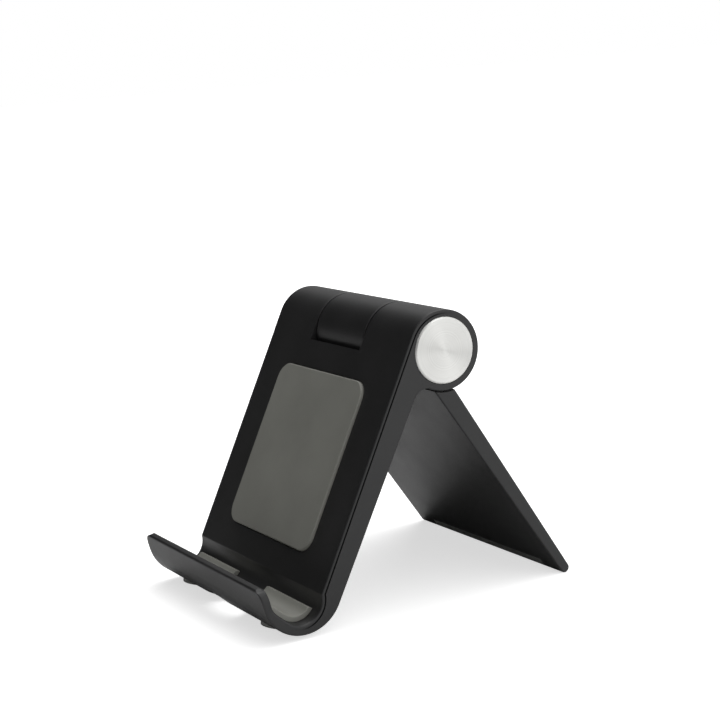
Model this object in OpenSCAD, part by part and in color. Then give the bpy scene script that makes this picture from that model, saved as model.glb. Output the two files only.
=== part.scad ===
// Adjustable phone stand: a J-shaped cradle, a swinging leg and a friction hinge between them.
// Every part is drawn in the cradle's own frame, whose Y points out of the cradle's back and
// whose Z runs up the plate, and is then leaned back until feet and toe stand on the ground.
// The origin is under the middle of the stand, on the ground, and +X is to the right.

/* [Overall] */
// Width of the cradle and of the leg
width = 78; // [70:1:90]
// Opening between the back of the plate and the leg
opening = 61.5; // [55:0.5:75]
// Height of the hinge axis above the centre of the bend
hinge_rise = 74.5; // [70:0.5:90]

/* [Cradle] */
// Distance of the hinge axis behind the back of the plate
hinge_setback = 3.2; // [2.5:0.1:4]
// Taper of the plate, from the barrel down to the bend
front_tilt = 1.25; // [0.5:0.05:1.5]
// Outer radius of the bend under the phone
bend_r = 12.15; // [11.5:0.05:12.5]
// Thickness of the front lip
lip_t = 2.3; // [2:0.1:2.5]
// Slope of the front lip
lip_slope = 49; // [46:1:52]
// Length of the straight part of the lip
lip_length = 4.45; // [3:0.05:6]
// Radius of the lip's upper edges
lip_edge_r = 0.7; // [0.4:0.1:0.9]
// Radius of the lip's upper corners
lip_corner_r = 3.5; // [2:0.5:5]
// Wall thickness of the cradle's front and sides
shell_wall = 2.1; // [1.9:0.1:2.3]
// Thickness of the back cover
cover_t = 1.8; // [1.5:0.1:2]
// Width of the cable slot in the bend
slot_width = 16; // [12:1:18]

/* [Hinge] */
// Diameter of the barrel
barrel_d = 22.6; // [22:0.1:23.5]
// Length of each end knuckle
knuckle_length = 24.3; // [23:0.1:25]
// Diameter of the aluminium end caps
cap_d = 18.5; // [17.5:0.1:18.7]
// Diameter of the hinge bolt
bolt_d = 6; // [5:0.5:6]

/* [Leg] */
// Length of the leg from the hinge axis to the centre of its rounded toe
leg_length = 78.5; // [72:0.5:84]
// Distance of the leg's inner face from the hinge axis
leg_inner = 9.16; // [8.5:0.01:9.5]
// Distance of the leg's outer face from the hinge axis
leg_outer = 3.5; // [3:0.1:4]
// Taper of the leg towards its toe
leg_taper = 2; // [1.5:0.1:2]

/* [Hidden] */
$fn = 96;

black_plastic = "#2b2b2d";
grey_silicone = "#6f6f68";
dark_rubber = "#3b3b3b";
bright_aluminium = "#dcdcd6";
steel = "#9a9a9e";
natural_nylon = "#d8d4c6";

half_width = width / 2;
barrel_r = barrel_d / 2;
bend_y = -bend_r;

// How far a cutting solid runs past the face that it opens
past = 1;
// A length that reaches right through the stand
through = 200;

// Trough inside the bend: a large arc under the plate and a smaller one behind the lip
trough_r = 6.2;
trough_y = -11.4;
trough_z = -3;
lip_trough_r = 5;
lip_normal = [-sin(lip_slope), -cos(lip_slope)];
lip_along = [-cos(lip_slope), sin(lip_slope)];
lip_trough = [bend_y, 0] + (bend_r - lip_t - lip_trough_r) * lip_normal;

// Plate front face, tangent to the barrel
front_top = [hinge_setback - barrel_r * cos(front_tilt), hinge_rise - barrel_r * sin(front_tilt)];
front_low_y = front_top[0] + front_top[1] * tan(front_tilt);
// Top edge of the plate between the knuckles
plate_top = 67.5;
// Radius of the blend between the plate's back and the barrel
blend_r = 4;
// Gap between the leg's panel and the knuckles, and between the plate and the hub
swing_gap = 0.4;
knuckle_round = 1;
knuckle_in = half_width - knuckle_length;

// Openings of the cradle's back: the seat of the cover and the hollow below it
seat_low = 3.5;
seat_high = 58;
seat_w = width - 4;
seat_corner = 3;
ledge = 1.5;
cover_gap = 0.1;
hollow_low = seat_low + ledge;
hollow_high = seat_high - ledge;
hollow_w = seat_w - 2 * ledge;

// Phone pad on the front face
pad_size = 50;
pad_low = 9;
pad_corner = 5;
pad_t = 1.6;
pad_sunk = 0.8;
pad_gap = 0.15;

// Screws that hold the back cover, under the phone pad
screw_places = [for (x = [-21, 21], y = [14, 50]) [x, y]];
screw_d = 2.2;
screw_length = 3.6;
screw_head_d = 4.2;
screw_head_t = 1.4;
screw_seat = 2.4;
screw_hole_d = 2.6;
head_hole_d = 4.8;
boss_d = 7;
boss_rise = 1.2;

// Steel stiffener against the front wall
stiffener_t = 1;
stiffener_size = [64, 46];
stiffener_low = 9;
stiffener_hole_d = boss_d + 1;

// Hook pads
hook_pad_t = 1.35;
hook_pad_from = 10;
hook_pad_to = half_width - 4;
hook_pad_start = -128;
hook_pad_end = -10;
hook_pad_centre = [-12.5, -2.5];

// Front feet, flat discs in the bend that stand on their rear rims
foot_d = 8;
foot_x = 26;
foot_proud = 1.1;
foot_forward = 14.4;
foot_sunk = 1.6;

// Cable slot
slot_depth = 8.5;
slot_y = -12.25;

// Hinge stack along the barrel
hub_half = 13.88;
friction_washer_t = 0.8;
friction_washer_d = 20;
web_x = 25;
pocket_d = 16.5;
cap_gap = 0.1;
cap_t = 1.25;
cap_proud = 0.4;
cap_bevel = 0.35;
cap_skirt = 3;
cap_skirt_in = 14.1;
cap_seat_x = half_width + cap_proud - cap_t;
hex_across = 10;
bolt_head_t = 4;
bolt_end_x = 36.6;
washer_hole_d = bolt_d + 0.2;
thrust_washer_t = 1.2;
thrust_washer_d = 14;
spring_count = 4;
spring_d = 12.5;
spring_t = 0.7;
spring_dish = 0.3;
spring_pitch = spring_t + spring_dish;
spring_x = web_x + thrust_washer_t;
nut_x = spring_x + spring_count * spring_pitch;
nut_t = 5.2;
nut_collar_t = 1.4;
nut_collar_d = 9;
bush_d = 9;
bush_bore = bolt_d + 0.1;
bush_length = 12;

// Leg, drawn with its Y along the leg and its Z out of its outer face
leg_angle = opening - 90;
toe_r = (leg_inner - leg_outer - leg_length * tan(leg_taper)) / 2;
leg_skin = 1.6;
leg_cover_t = 1.2;
leg_seat_low = 16;
leg_seat_high = 70;
leg_seat_w = width - 5;
leg_hollow = [18.5, 56];
leg_cells = 4;
leg_cell_w = 15.5;
leg_cell_pitch = 17.5;
peg_places = [for (x = [-1, 0, 1], y = [26, 46]) [x * leg_cell_pitch, y]];
peg_d = 1.4;
peg_length = 0.9;
grip_width = 60;
grip_start = 76.2;
tongue_t = 1;
tongue_length = 2;

// Lean of the plate: the ground line touches both the feet and the toe
toe_y = hinge_setback + leg_length * cos(leg_angle) + (leg_inner - toe_r) * sin(leg_angle);
toe_z = hinge_rise + leg_length * sin(leg_angle) - (leg_inner - toe_r) * cos(leg_angle);
foot_r = bend_r + foot_proud;
foot_sole = (foot_r - foot_d / 2 * sin(foot_forward)) / cos(foot_forward);
ground_y = toe_y - bend_y;
lean = atan2(toe_z, ground_y) + asin((foot_r - toe_r) / norm([ground_y, toe_z]));
ground = -bend_y * sin(lean) - foot_r;

// Front and back of the whole stand, to centre it on the origin
lip_end = [bend_y, 0] + (bend_r - lip_t / 2) * lip_normal + lip_length * lip_along;
lip_front = lip_end + (lip_t / 2 - lip_edge_r) * lip_normal;
front_edge = lip_front[0] * cos(lean) + lip_front[1] * sin(lean) - lip_edge_r;
back_edge = toe_y * cos(lean) + toe_z * sin(lean) + toe_r;
centre_y = (front_edge + back_edge) / 2;

// ---- Frames ----

// Stands a part that is drawn in the cradle's frame on the ground
module stand() {
    translate([0, -centre_y, -ground]) rotate([-lean, 0, 0]) children();
}

// Places a part that is drawn in the leg's frame
module on_leg() {
    stand() translate([0, hinge_setback, hinge_rise]) rotate([leg_angle, 0, 0]) children();
}

// Places a part that is drawn along Z on the hinge axis, with Z to the right
module on_axis() {
    stand() translate([0, hinge_setback, hinge_rise]) rotate([90, 0, 90]) children();
}

// The plate's front face: X stays, Y runs up the face and Z points out of it
module on_front() {
    translate([0, front_low_y, 0]) rotate([90 + front_tilt, 0, 0]) children();
}

// The plate's back face: X stays, Y runs up the face and Z points into the plate
module on_back() {
    rotate([90, 0, 0]) children();
}

// The leg's outer face: X stays, Y runs down the leg and Z points out of the face
module on_leg_outer() {
    translate([0, 0, -leg_outer]) rotate([-leg_taper, 0, 0]) children();
}

// ---- Shapes ----

// Extrudes a side view, drawn in Y and Z, from one X to another
module side_view(x_from, x_to) {
    translate([x_from, 0, 0]) rotate([90, 0, 90]) linear_extrude(x_to - x_from) children();
}

module both_sides() {
    children();
    mirror([1, 0, 0]) children();
}

module rounded_rect(w, low, high, r) {
    translate([-w / 2 + r, low]) square([w - 2 * r, high - low]);
    translate([-w / 2, low + r]) square([w, high - low - 2 * r]);
    for (x = [-w / 2 + r, w / 2 - r], y = [low + r, high - r]) translate([x, y]) circle(r);
}

module ring(outer_d, inner_d, h) {
    difference() {
        cylinder(d = outer_d, h = h);
        translate([0, 0, -past]) cylinder(d = inner_d, h = h + 2 * past);
    }
}

module hexagon(across, h) {
    cylinder(d = across / cos(30), h = h, $fn = 6);
}

// A cylinder along the hinge axis, in the cradle's frame
module barrel_core(d, x_from, x_to) {
    translate([x_from, hinge_setback, hinge_rise]) rotate([90, 0, 90]) cylinder(d = d, h = x_to - x_from);
}

// ---- Cradle ----

// Side view of the space inside the bend
module trough() {
    centre = [trough_y, trough_z];
    across = lip_trough - centre;
    tangent = atan2(across[1], across[0]) + acos((trough_r - lip_trough_r) / norm(across));
    down = [cos(tangent), sin(tangent)];
    translate(centre) circle(trough_r);
    translate(lip_trough) circle(lip_trough_r);
    polygon([centre, centre + trough_r * down, lip_trough + lip_trough_r * down, lip_trough]);
}

// Side view of the lip, which leaves the bend at its slope and ends in two rounded edges
module lip_profile() {
    root = [bend_y, 0] + bend_r * lip_normal;
    reach = lip_length * lip_along;
    top = (lip_length + lip_edge_r) * lip_along;
    inward = -lip_t * lip_normal;
    edge = -lip_edge_r * lip_normal;
    polygon([root, root + reach, root + top + edge, root + top + inward - edge, root + reach + inward, root + inward]);
    for (centre = [lip_front, 2 * lip_end - lip_front]) translate(centre) circle(lip_edge_r);
}

// What is cut away to round the lip's upper corners, in short straight steps
module lip_corners() {
    steps = 8;
    corner = lip_corner_r + past;
    both_sides() translate([half_width - lip_corner_r, lip_end[0], lip_end[1]]) rotate([180 - lip_slope, 0, 0])
        translate([0, lip_edge_r - lip_corner_r, -lip_t]) linear_extrude(2 * lip_t) polygon(concat(
            [[corner, 0], [corner, corner], [0, corner]],
            [for (i = [0:steps]) let (a = 90 * (1 - i / steps)) lip_corner_r * [cos(a), sin(a)]]
        ));
}

// Side view of the cradle: plate, bend and lip
module cradle_profile() {
    wedge = 2 * bend_r;
    lip_turn = 270 - lip_slope;
    difference() {
        union() {
            polygon([[0, 0], [0, hinge_rise], front_top, [front_low_y, 0]]);
            intersection() {
                translate([bend_y, 0]) circle(bend_r);
                translate([bend_y, 0]) polygon(concat(
                    [[0, 0]],
                    [for (i = [0:4]) let (a = lip_turn + i * (360 - lip_turn) / 4) wedge * [cos(a), sin(a)]]
                ));
            }
            lip_profile();
        }
        trough();
    }
}

// Side view of the blend between the back of the plate and the barrel
module blend_profile() {
    reach = barrel_r + blend_r;
    centre = [blend_r, hinge_rise - sqrt(reach * reach - pow(blend_r - hinge_setback, 2))];
    touch = [hinge_setback, hinge_rise] + (barrel_r / reach) * (centre - [hinge_setback, hinge_rise]);
    difference() {
        polygon([
            [-cover_t, centre[1]], centre, touch, [hinge_setback, hinge_rise], [-cover_t, hinge_rise]
        ]);
        translate(centre) circle(blend_r);
    }
}

// End knuckle with a rounded outer rim
module knuckle() {
    translate([knuckle_in, hinge_setback, hinge_rise]) rotate([90, 0, 90]) rotate_extrude() {
        square([barrel_r, knuckle_length - knuckle_round]);
        square([barrel_r - knuckle_round, knuckle_length]);
        translate([barrel_r - knuckle_round, knuckle_length - knuckle_round]) circle(knuckle_round);
    }
}

// Places a part at each screw, on the front face
module at_screws() {
    on_front() for (p = screw_places) translate([p[0], p[1], 0]) children();
}

module cradle_hollows() {
    translate([0, past, 0]) on_back() linear_extrude(cover_t + past)
        rounded_rect(seat_w, seat_low, seat_high, seat_corner);
    intersection() {
        on_front() translate([0, 0, -through / 2]) linear_extrude(through / 2 - shell_wall)
            rounded_rect(hollow_w, hollow_low, hollow_high, seat_corner);
        translate([-through / 2, -through / 2, -through / 2]) cube([through, through / 2, through]);
    }
    barrel_core(barrel_d + 2 * swing_gap, -knuckle_in, knuckle_in);
    translate([-knuckle_in, -through / 2, plate_top]) cube([2 * knuckle_in, through / 2, through]);
}

module hinge_holes() {
    barrel_core(bolt_d, -half_width, half_width);
    both_sides() {
        barrel_core(pocket_d, web_x, half_width + past);
        barrel_core(cap_d + 2 * cap_gap, cap_seat_x, half_width + past);
    }
    translate([-web_x - past, hinge_setback, hinge_rise]) rotate([90, 0, 90])
        hexagon(hex_across, bolt_head_t + past);
}

// A foot, a disc square to the bend, on one side of the stand
module foot_solid(x) {
    translate([x, bend_y, 0]) rotate([180 + lean - foot_forward, 0, 0]) translate([0, 0, bend_r - foot_sunk])
        cylinder(d = foot_d, h = foot_sole - bend_r + foot_sunk);
}

module cable_slot() {
    straight = slot_width - slot_depth;
    translate([0, slot_y, -2 * bend_r]) {
        translate([-straight / 2, -slot_depth / 2, 0]) cube([straight, slot_depth, 2 * bend_r]);
        for (x = [-straight / 2, straight / 2]) translate([x, 0, 0]) cylinder(d = slot_depth, h = 2 * bend_r);
    }
}

module cradle_shell() {
    color(black_plastic) stand() {
        difference() {
            union() {
                side_view(-half_width, half_width) cradle_profile();
                both_sides() {
                    knuckle();
                    side_view(knuckle_in, half_width) blend_profile();
                }
            }
            cradle_hollows();
            hinge_holes();
            on_front() translate([0, 0, -pad_sunk]) linear_extrude(pad_sunk + past)
                rounded_rect(pad_size + 2 * pad_gap, pad_low - pad_gap, pad_low + pad_size + pad_gap, pad_corner);
            at_screws() translate([0, 0, -shell_wall - past]) cylinder(d = head_hole_d, h = shell_wall + past);
            for (x = [-foot_x, foot_x]) foot_solid(x);
            cable_slot();
            lip_corners();
        }
        at_screws() difference() {
            translate([0, 0, -shell_wall - boss_rise]) cylinder(d = boss_d, h = shell_wall + boss_rise - pad_sunk);
            translate([0, 0, -screw_seat]) cylinder(d = head_hole_d, h = shell_wall);
            translate([0, 0, -through / 2]) cylinder(d = screw_hole_d, h = through / 2);
        }
    }
}

module back_cover() {
    color(black_plastic) stand() difference() {
        union() {
            on_back() linear_extrude(cover_t) rounded_rect(
                seat_w - 2 * cover_gap, seat_low + cover_gap, seat_high - cover_gap, seat_corner
            );
            intersection() {
                at_screws() translate([0, 0, -through / 2])
                    cylinder(d = boss_d, h = through / 2 - shell_wall - boss_rise);
                translate([-half_width, -cover_t - barrel_r, 0]) cube([width, barrel_r + cover_t / 2, hinge_rise]);
            }
        }
        at_screws() translate([0, 0, -screw_seat - screw_length]) cylinder(d = screw_d, h = screw_length);
    }
}

module stiffener_plate() {
    color(steel) stand() on_front() translate([0, 0, -shell_wall - stiffener_t]) linear_extrude(stiffener_t)
        difference() {
            rounded_rect(stiffener_size[0], stiffener_low, stiffener_low + stiffener_size[1], seat_corner);
            for (p = screw_places) translate(p) circle(d = stiffener_hole_d);
        }
}

module cover_screws() {
    color(steel) stand() at_screws() {
        translate([0, 0, -screw_seat - screw_length]) cylinder(d = screw_d, h = screw_length);
        translate([0, 0, -screw_seat]) difference() {
            cylinder(d = screw_head_d, h = screw_head_t);
            translate([0, 0, screw_head_t / 2]) hexagon(1.5, screw_head_t);
        }
    }
}

module phone_pad() {
    color(dark_rubber) stand() on_front() translate([0, 0, -pad_sunk]) linear_extrude(pad_t)
        rounded_rect(pad_size, pad_low, pad_low + pad_size, pad_corner);
}

// Side view of the trough's rounded floor, drawn in by a margin
module trough_floor(margin) {
    hull() {
        translate([trough_y, trough_z]) circle(trough_r - margin, $fn = 48);
        translate(lip_trough) circle(lip_trough_r - margin, $fn = 48);
    }
}

// One hook pad, on the right-hand side
module hook_pad() {
    reach = 2 * trough_r;
    side_view(hook_pad_from, hook_pad_to) intersection() {
        difference() {
            trough_floor(0);
            trough_floor(hook_pad_t);
        }
        translate(hook_pad_centre) polygon(concat(
            [[0, 0]],
            [for (i = [0:4]) let (a = hook_pad_start + i * (hook_pad_end - hook_pad_start) / 4)
                reach * [cos(a), sin(a)]]
        ));
    }
}

module hook_pad_right() {
    color(grey_silicone) stand() hook_pad();
}

module hook_pad_left() {
    color(grey_silicone) stand() mirror([1, 0, 0]) hook_pad();
}

module front_foot_right() {
    color(dark_rubber) stand() foot_solid(foot_x);
}

module front_foot_left() {
    color(dark_rubber) stand() foot_solid(-foot_x);
}

// ---- Leg ----

// Side view of the leg's panel, tapered to a full round at the toe
module leg_profile() {
    toe_outer = leg_outer + leg_length * tan(leg_taper);
    polygon([[0, -leg_inner], [leg_length, -leg_inner], [leg_length, -toe_outer], [0, -leg_outer]]);
    translate([leg_length, toe_r - leg_inner]) circle(toe_r);
}

// The toe grip's solid: the rounded toe and a tongue that holds it in the leg
module grip_solid() {
    side_view(-grip_width / 2, grip_width / 2) {
        intersection() {
            leg_profile();
            translate([grip_start, -through / 2]) square([through, through]);
        }
        translate([grip_start - tongue_length, toe_r - leg_inner - tongue_t / 2])
            square([tongue_length + past, tongue_t]);
    }
}

module leg_frame() {
    color(black_plastic) on_leg() difference() {
        union() {
            difference() {
                side_view(-half_width, half_width) leg_profile();
                both_sides() translate([hub_half, 0, 0]) rotate([90, 0, 90])
                    cylinder(r = barrel_r + swing_gap, h = half_width);
            }
            translate([-hub_half, 0, 0]) rotate([90, 0, 90]) cylinder(r = barrel_r, h = 2 * hub_half);
        }
        translate([-half_width, 0, 0]) rotate([90, 0, 90]) cylinder(d = bush_d, h = width);
        on_leg_outer() translate([0, 0, -leg_cover_t]) linear_extrude(leg_cover_t + past)
            rounded_rect(leg_seat_w, leg_seat_low, leg_seat_high, seat_corner);
        for (i = [0:leg_cells - 1])
            translate([
                (i - (leg_cells - 1) / 2) * leg_cell_pitch - leg_cell_w / 2, leg_hollow[0], leg_skin - leg_inner
            ])
                cube([leg_cell_w, leg_hollow[1] - leg_hollow[0], leg_inner]);
        on_leg_outer() for (p = peg_places) translate([p[0], p[1], -leg_cover_t - peg_length])
            cylinder(d = peg_d, h = peg_length + past);
        grip_solid();
    }
}

module leg_cover() {
    color(black_plastic) on_leg() on_leg_outer() {
        translate([0, 0, -leg_cover_t]) linear_extrude(leg_cover_t) rounded_rect(
            leg_seat_w - 2 * cover_gap, leg_seat_low + cover_gap, leg_seat_high - cover_gap, seat_corner
        );
        for (p = peg_places) translate([p[0], p[1], -leg_cover_t - peg_length])
            cylinder(d = peg_d, h = peg_length + leg_cover_t / 2);
    }
}

module toe_grip() {
    color(dark_rubber) on_leg() grip_solid();
}

module hub_bush() {
    translate([0, 0, hub_half - bush_length]) ring(bush_d, bush_bore, bush_length);
}

module hub_bush_right() {
    color(natural_nylon) on_axis() hub_bush();
}

module hub_bush_left() {
    color(natural_nylon) on_axis() mirror([0, 0, 1]) hub_bush();
}

// ---- Hinge ----

module hinge_bolt() {
    color(steel) on_axis() {
        translate([0, 0, -web_x]) hexagon(hex_across, bolt_head_t);
        translate([0, 0, -web_x + bolt_head_t / 2]) cylinder(d = bolt_d, h = web_x + bolt_end_x - bolt_head_t / 2);
    }
}

module friction_washer() {
    translate([0, 0, knuckle_in - friction_washer_t]) ring(friction_washer_d, washer_hole_d, friction_washer_t);
}

module friction_washer_right() {
    color(natural_nylon) on_axis() friction_washer();
}

module friction_washer_left() {
    color(natural_nylon) on_axis() mirror([0, 0, 1]) friction_washer();
}

module thrust_washer() {
    color(steel) on_axis() translate([0, 0, web_x]) ring(thrust_washer_d, washer_hole_d, thrust_washer_t);
}

// A dished spring with its hollow side down
module disc_spring() {
    rotate_extrude() polygon([
        [spring_d / 2, 0], [spring_d / 2, spring_t],
        [washer_hole_d / 2, spring_t + spring_dish], [washer_hole_d / 2, spring_dish]
    ]);
}

// The springs lie face to face in turn, rim to rim and then hole to hole
module disc_springs() {
    color(steel) on_axis() for (i = [0:spring_count - 1]) {
        low = spring_x + i * spring_pitch;
        if (i % 2 == 0) translate([0, 0, low]) disc_spring();
        else translate([0, 0, low + spring_pitch]) mirror([0, 0, 1]) disc_spring();
    }
}

module lock_nut() {
    color(steel) on_axis() translate([0, 0, nut_x]) difference() {
        union() {
            hexagon(hex_across, nut_t - nut_collar_t);
            cylinder(d = nut_collar_d, h = nut_t);
        }
        translate([0, 0, -past]) cylinder(d = bolt_d, h = nut_t + 2 * past);
    }
}

// Turned cap with a bevelled rim, held in its knuckle by a skirt
module end_cap() {
    rotate_extrude() polygon([
        [0, cap_seat_x], [cap_d / 2, cap_seat_x], [cap_d / 2, cap_seat_x + cap_t - cap_bevel],
        [cap_d / 2 - cap_bevel, cap_seat_x + cap_t], [0, cap_seat_x + cap_t]
    ]);
    translate([0, 0, cap_seat_x - cap_skirt]) ring(pocket_d, cap_skirt_in, cap_skirt + cap_t / 2);
}

module end_cap_right() {
    color(bright_aluminium) on_axis() end_cap();
}

module end_cap_left() {
    color(bright_aluminium) on_axis() mirror([0, 0, 1]) end_cap();
}

cradle_shell();
back_cover();
stiffener_plate();
cover_screws();
phone_pad();
hook_pad_left();
hook_pad_right();
front_foot_left();
front_foot_right();
leg_frame();
leg_cover();
toe_grip();
hub_bush_left();
hub_bush_right();
hinge_bolt();
friction_washer_left();
friction_washer_right();
thrust_washer();
disc_springs();
lock_nut();
end_cap_left();
end_cap_right();
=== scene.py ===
"""Phone stand: the detailed pieces, their materials, the light and the camera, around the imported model."""

import cmath
import math

import bmesh
import bpy
from mathutils import Matrix, Vector
from mathutils.geometry import tessellate_polygon


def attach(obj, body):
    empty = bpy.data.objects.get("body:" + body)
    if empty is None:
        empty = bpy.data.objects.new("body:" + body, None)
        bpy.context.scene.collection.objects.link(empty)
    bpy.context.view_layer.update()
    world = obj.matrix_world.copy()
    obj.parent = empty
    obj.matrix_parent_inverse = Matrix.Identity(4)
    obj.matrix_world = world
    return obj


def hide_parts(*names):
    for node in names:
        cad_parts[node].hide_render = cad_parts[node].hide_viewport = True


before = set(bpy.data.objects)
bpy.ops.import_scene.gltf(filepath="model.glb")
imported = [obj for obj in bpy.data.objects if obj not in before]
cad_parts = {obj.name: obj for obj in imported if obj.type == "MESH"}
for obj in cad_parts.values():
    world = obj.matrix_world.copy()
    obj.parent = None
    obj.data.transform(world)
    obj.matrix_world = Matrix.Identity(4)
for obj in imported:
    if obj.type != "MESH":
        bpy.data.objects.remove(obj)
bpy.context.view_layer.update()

# ---- Sizes of the CAD model, in millimetres and degrees ----

HALF_WIDTH = 39.0
OPENING = 61.5
AXIS = 3.2 + 74.5j  # hinge axis, as Y + Z of the cradle's frame
FRONT_TILT = 1.25
BARREL_R = 11.3
BLEND_R = 4.0
SWING_R = 11.7
KNUCKLE_IN = 14.7
PLATE_TOP = 67.5

BEND = -12.15 + 0j
BEND_R = 12.15
LIP_T = 2.3
LIP_SLOPE = 49.0
LIP_LENGTH = 4.45
LIP_EDGE_R = 0.7
LIP_CORNER_R = 3.5
TROUGH = -11.4 - 3.0j
TROUGH_R = 6.2
LIP_TROUGH_R = 5.0

CAP_X = 38.15
CAP_R = 9.25
CAP_T = 1.25
CAP_BEVEL = 0.35
POCKET_R = 8.25
POCKET_X = 25.0

COVER_W, COVER_LOW, COVER_HIGH, COVER_T = 74.0, 3.5, 58.0, 1.8
PAD_W, PAD_LOW, PAD_T, PAD_SUNK = 50.0, 9.0, 1.6, 0.8
HOOK_PAD_X = (10.0, 35.0)
HOOK_PAD_T = 1.5
FOOT_R, FOOT_X, FOOT_PROUD, FOOT_SUNK, FOOT_FORWARD = 4.0, 26.0, 1.1, 1.6, 14.4
SLOT_W, SLOT_D, SLOT_ANGLE = 16.0, 8.5, -90.5

LEG_LENGTH = 78.5
LEG_INNER = 9.16
LEG_OUTER = 3.5
LEG_TAPER = 2.0
HUB_HALF = 13.88
LEG_COVER_W, LEG_COVER_LOW, LEG_COVER_HIGH, LEG_COVER_T = 73.0, 16.0, 70.0, 1.2
GRIP_HALF, GRIP_START = 30.0, 76.2

COVER_GAP = 0.1
COVER_CORNER_R = 3.0

SIDES = ((-1, "left"), (1, "right"))

# ---- Frames ----


def cis(degrees):
    """The unit step in a direction of a side view."""
    return cmath.exp(1j * math.radians(degrees))


LIP_NORMAL = cis(-90 - LIP_SLOPE)
LIP_ALONG = cis(180 - LIP_SLOPE)
LIP_TROUGH = BEND + (BEND_R - LIP_T - LIP_TROUGH_R) * LIP_NORMAL
LIP_OUTER_EDGE = BEND + (BEND_R - LIP_EDGE_R) * LIP_NORMAL + LIP_LENGTH * LIP_ALONG
LIP_INNER_EDGE = BEND + (BEND_R - LIP_T + LIP_EDGE_R) * LIP_NORMAL + LIP_LENGTH * LIP_ALONG

LEG_ANGLE = OPENING - 90
TAPER_RISE = math.tan(math.radians(LEG_TAPER))
TOE_R = (LEG_INNER - LEG_OUTER - LEG_LENGTH * TAPER_RISE) / 2
TOE = AXIS + (LEG_LENGTH + 1j * (TOE_R - LEG_INNER)) * cis(LEG_ANGLE)
toe_span = TOE - BEND
LEAN = cmath.phase(toe_span) + math.asin((BEND_R + FOOT_PROUD - TOE_R) / abs(toe_span))
GROUND = -BEND.real * math.sin(LEAN) - BEND_R - FOOT_PROUD


def level(point):
    """A point of the cradle's side view, turned level."""
    return point * cmath.exp(-1j * LEAN)


CENTRE_Y = (level(LIP_OUTER_EDGE).real - LIP_EDGE_R + level(TOE).real + TOE_R) / 2

CRADLE = (
    Matrix.Scale(0.001, 4)
    @ Matrix.Translation((0, -CENTRE_Y, -GROUND))
    @ Matrix.Rotation(-LEAN, 4, "X")
)
LEG = (
    CRADLE
    @ Matrix.Translation((0, AXIS.real, AXIS.imag))
    @ Matrix.Rotation(math.radians(LEG_ANGLE), 4, "X")
)
FACE_TOP = AXIS + BARREL_R * cis(180 + FRONT_TILT)
FACE_DOWN = cis(270 + FRONT_TILT)
FACE_LOW = FACE_TOP + FACE_DOWN * (FACE_TOP.imag / math.cos(math.radians(FRONT_TILT)))
FRONT = (
    CRADLE
    @ Matrix.Translation((0, FACE_LOW.real, FACE_LOW.imag))
    @ Matrix.Rotation(math.radians(90 + FRONT_TILT), 4, "X")
)
BACK = CRADLE @ Matrix.Rotation(math.radians(90), 4, "X") @ Matrix.Scale(-1, 4, (0, 0, 1))
LEG_BACK = LEG @ Matrix.Translation((0, 0, -LEG_OUTER)) @ Matrix.Rotation(math.radians(-LEG_TAPER), 4, "X")

# ---- Outlines ----


def arc(centre, radius, start, end, step=0.55):
    """Points on a circle from one angle to another, both ends included."""
    count = max(2, math.ceil(math.radians(abs(end - start)) * radius / step))
    return [centre + radius * cis(start + (end - start) * i / count) for i in range(count + 1)]


def circle(centre, radius, count=120):
    return [centre + radius * cis(360 * i / count) for i in range(count)]


def angle(step):
    return math.degrees(cmath.phase(step))


def line(start, end, count):
    return [start + (end - start) * i / count for i in range(count + 1)]


def joined(*parts):
    """One chain of points, with the repeated ones left out."""
    chain = []
    for point in [p for part in parts for p in part]:
        if not chain or abs(point - chain[-1]) > 1e-4:
            chain.append(point)
    return chain


def inset(loop, distance, share=None):
    """A closed counter-clockwise outline drawn in by a distance, or by each point's share of it."""
    drawn = []
    for i, point in enumerate(loop):
        before = point - loop[i - 1]
        after = loop[(i + 1) % len(loop)] - point
        n0 = 1j * before / abs(before)
        n1 = 1j * after / abs(after)
        mitre = (n0 + n1) / (1 + (n0 * n1.conjugate()).real)
        drawn.append(point + mitre * distance * (share[i] if share else 1))
    return drawn


def rounded_rect(width, low, high, radius):
    """A counter-clockwise rounded rectangle, as X + Y of its face."""
    reach = width / 2 - radius
    bottom, top = low + radius, high - radius
    corners = [(reach, bottom, -90), (reach, top, 0), (-reach, top, 90), (-reach, bottom, 180)]
    return [p for x, y, a in corners for p in arc(complex(x, y), radius, a, a + 90, step=0.5)]


def quarter(radius, count=5):
    """(how far drawn in, how far down) along a rounded edge, from its face to its side."""
    for i in range(count + 1):
        turn = math.pi / 2 * i / count
        yield radius * (1 - math.sin(turn)), radius * (1 - math.cos(turn))


# ---- Meshes ----

PROUD = 0.01  # how far a cutter's rounded mouth starts outside the face it cuts
CUT_OVER = 1.0  # how far a cutter goes on past the faces it cuts
MERGE_WITHIN = 3e-6  # in metres
END_SPAN = 1.0  # the stations of a rounded end are laid out for this radius and then scaled
RIM_IN, RIM_OUT = 3, 2  # points over which a step's rounded rim comes in and goes out
STEP_RIM_R = 0.35


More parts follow.
